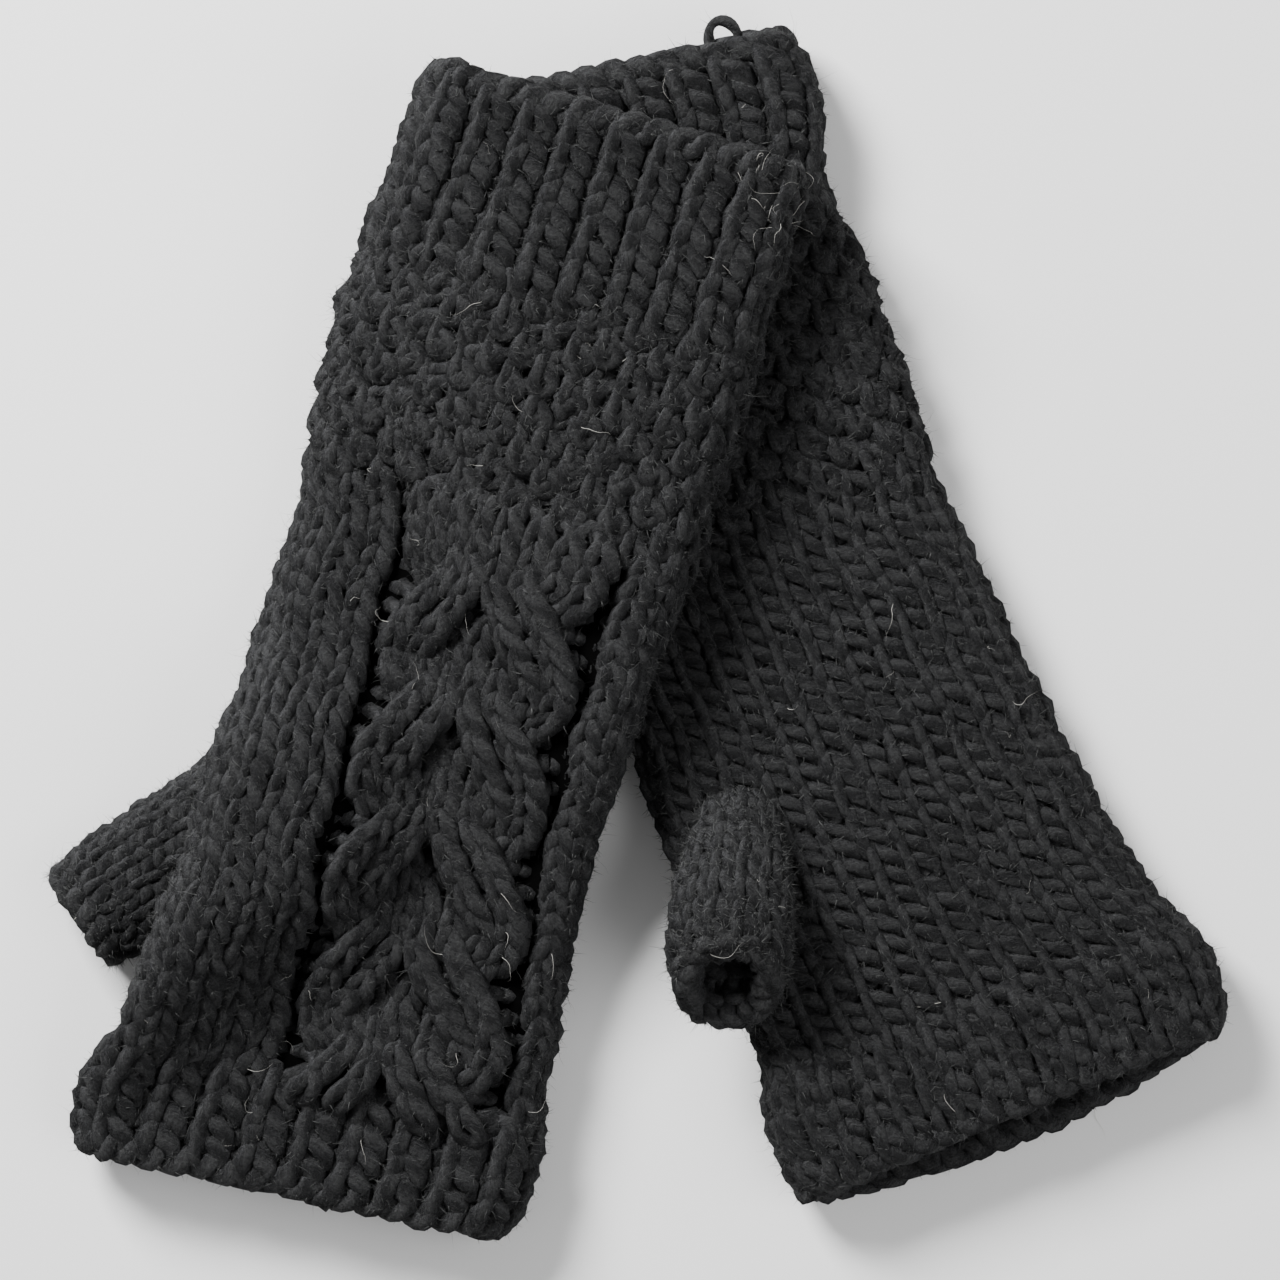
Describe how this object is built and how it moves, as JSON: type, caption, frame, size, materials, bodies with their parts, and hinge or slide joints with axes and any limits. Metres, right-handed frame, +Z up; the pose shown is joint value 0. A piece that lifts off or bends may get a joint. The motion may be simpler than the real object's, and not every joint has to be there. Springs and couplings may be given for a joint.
{
  "type": "pair of fingerless knitted mitts",
  "caption": "Pair of long fingerless hand-knitted mitts laid flat and crossed: ribbed ends, textured wrist, cabled back, plain palm, short open thumb.",
  "frame": {"origin": "on the table, under the middle of the pair's outline", "axes": "+Z up from the table, +Y from the fingers towards the cuffs, +X to the right"},
  "size_m": [0.2598, 0.2678, 0.0452],
  "materials": {
    "knitted_wool": "soft matt two-ply wool in charcoal, with a short fuzz and a few pale stray fibres",
    "edge_wool": "the same wool at the cast-on and bound-off edges, slightly worn and lighter"
  },
  "bodies": {
    "right_mitt": {"right_back_outer_side_panel": "knitted_wool", "right_back_thumb_side_panel": "knitted_wool", "right_cable_outer_side_strand": "knitted_wool", "right_cable_thumb_side_strand": "knitted_wool", "right_cast_on_edge": "edge_wool", "right_cast_on_yarn_loop": "edge_wool", "right_cuff_rib": "knitted_wool", "right_finger_bind_off_edge": "edge_wool", "right_finger_rib": "knitted_wool", "right_palm_panel": "knitted_wool", "right_seed_stitch_band": "knitted_wool", "right_thumb_base_rows": "knitted_wool", "right_thumb_gusset": "knitted_wool"},
    "left_mitt": {"left_back_outer_side_panel": "knitted_wool", "left_back_thumb_side_panel": "knitted_wool", "left_cable_outer_side_strand": "knitted_wool", "left_cable_thumb_side_strand": "knitted_wool", "left_cast_on_edge": "edge_wool", "left_cuff_rib": "knitted_wool", "left_finger_bind_off_edge": "edge_wool", "left_finger_rib": "knitted_wool", "left_palm_panel": "knitted_wool", "left_seed_stitch_band": "knitted_wool", "left_thumb_base_rows": "knitted_wool", "left_thumb_gusset": "knitted_wool"},
    "right_thumb": {"right_thumb_bind_off_edge": "edge_wool", "right_thumb_tube": "knitted_wool"},
    "left_thumb": {"left_thumb_bind_off_edge": "edge_wool", "left_thumb_tube": "knitted_wool"}
  },
  "joints": [
    {"name": "left_mitt_lift_off", "type": "slide", "parent": "right_mitt", "child": "left_mitt", "axis": [0, 0, 1], "range_m": [0, 0.12]},
    {"name": "right_thumb_swing", "type": "hinge", "parent": "right_mitt", "child": "right_thumb", "pos_m": [0.02139, -0.04762, 0], "axis": [0, 0, 1], "range_deg": [-15, 30]},
    {"name": "left_thumb_swing", "type": "hinge", "parent": "left_mitt", "child": "left_thumb", "pos_m": [-0.08788, -0.04069, 0], "axis": [0, 0, 1], "range_deg": [-20, 0]}
  ]
}
